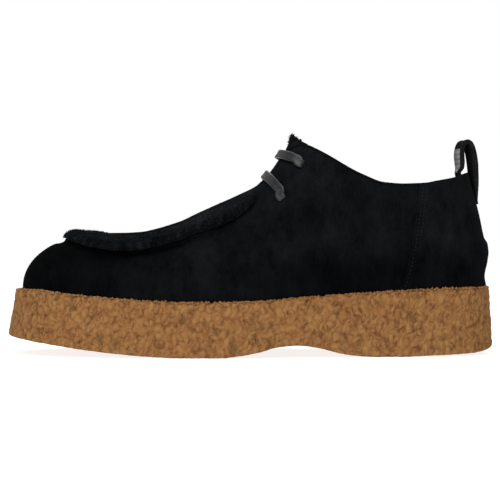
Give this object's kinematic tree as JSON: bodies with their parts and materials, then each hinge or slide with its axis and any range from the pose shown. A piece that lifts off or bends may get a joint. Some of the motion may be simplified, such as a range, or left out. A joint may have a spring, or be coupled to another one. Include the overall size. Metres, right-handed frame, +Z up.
{
  "type": "leather shoe",
  "caption": "Left moccasin shoe: hollow hair-on leather upper with raised apron seam, tongue, lace bars, heel panel and pull loop on a thick flared crepe sole.",
  "frame": {"origin": "on the ground, under the middle of the sole's bounding box", "axes": "+Z up, +X along the shoe from toe to heel, +Y to the inner (medial) side"},
  "size_m": [0.2964, 0.118, 0.1333],
  "materials": {
    "crepe": "matt, crumbly natural crepe",
    "hair_on_leather": "short hair, matt",
    "lining_leather": "smooth, matt",
    "strap_leather": "smooth, low gloss",
    "lace_leather": "smooth, waxed"
  },
  "bodies": {
    "root": {"crepe_sole": "crepe", "upper": "hair_on_leather", "apron_seam": "hair_on_leather", "heel_panel": "hair_on_leather", "tongue": "hair_on_leather", "insole": "lining_leather", "pull_loop": "strap_leather", "lace_bar_lower": "lace_leather", "lace_bar_upper": "lace_leather"}
  },
  "joints": []
}
